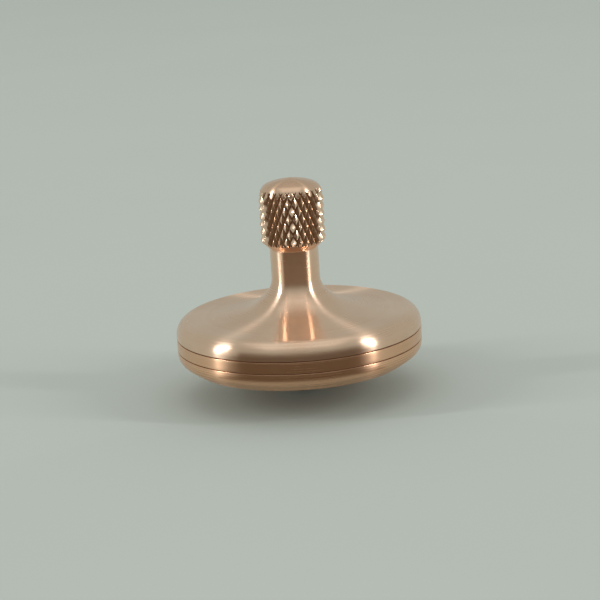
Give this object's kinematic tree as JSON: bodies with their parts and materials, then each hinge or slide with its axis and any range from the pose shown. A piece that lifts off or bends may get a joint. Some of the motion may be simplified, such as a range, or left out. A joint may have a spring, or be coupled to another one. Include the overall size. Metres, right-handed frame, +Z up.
{
  "type": "spinning top",
  "caption": "Turned copper spinning top: knurled grip on a slim stem flaring into a wide disc of stacked rings, spinning on a hard ball in a screw-in holder.",
  "frame": {"origin": "the point of the tip ball, where the upright top touches the floor", "axes": "+Z up the spin axis towards the cap; the part is round about +Z, so X and Y only place the knurl and the hexagon"},
  "size_m": [0.0318, 0.0318, 0.0282],
  "materials": {
    "copper": "solid copper, satin turned with fine circular tool lines, bright knurl",
    "ring_copper": "solid copper, satin turned rim",
    "lower_copper": "solid copper, satin turned underside",
    "seal_rubber": "black nitrile rubber, slightly greased",
    "holder_steel": "turned stainless steel",
    "ball_ceramic": "polished dark silicon nitride"
  },
  "bodies": {
    "base": {"lower_body": "lower_copper", "centre_ring": "ring_copper", "tip_holder": "holder_steel", "tip_ball": "ball_ceramic"},
    "seal": {"seal_ring": "seal_rubber"},
    "stem": {"stem_body": "copper"}
  },
  "joints": [
    {"name": "stem_rise", "type": "slide", "parent": "base", "child": "seal", "axis": [0, 0, 1], "range_m": [0, 0.0015]},
    {"name": "stem_turn", "type": "hinge", "parent": "seal", "child": "stem", "pos_m": [0, 0, 0.0066], "axis": [0, 0, 1], "range_deg": [0, 720]}
  ],
  "couplings": [
    {"joint": "stem_turn", "follows": "stem_rise", "rad_per_m": 8377.5}
  ]
}
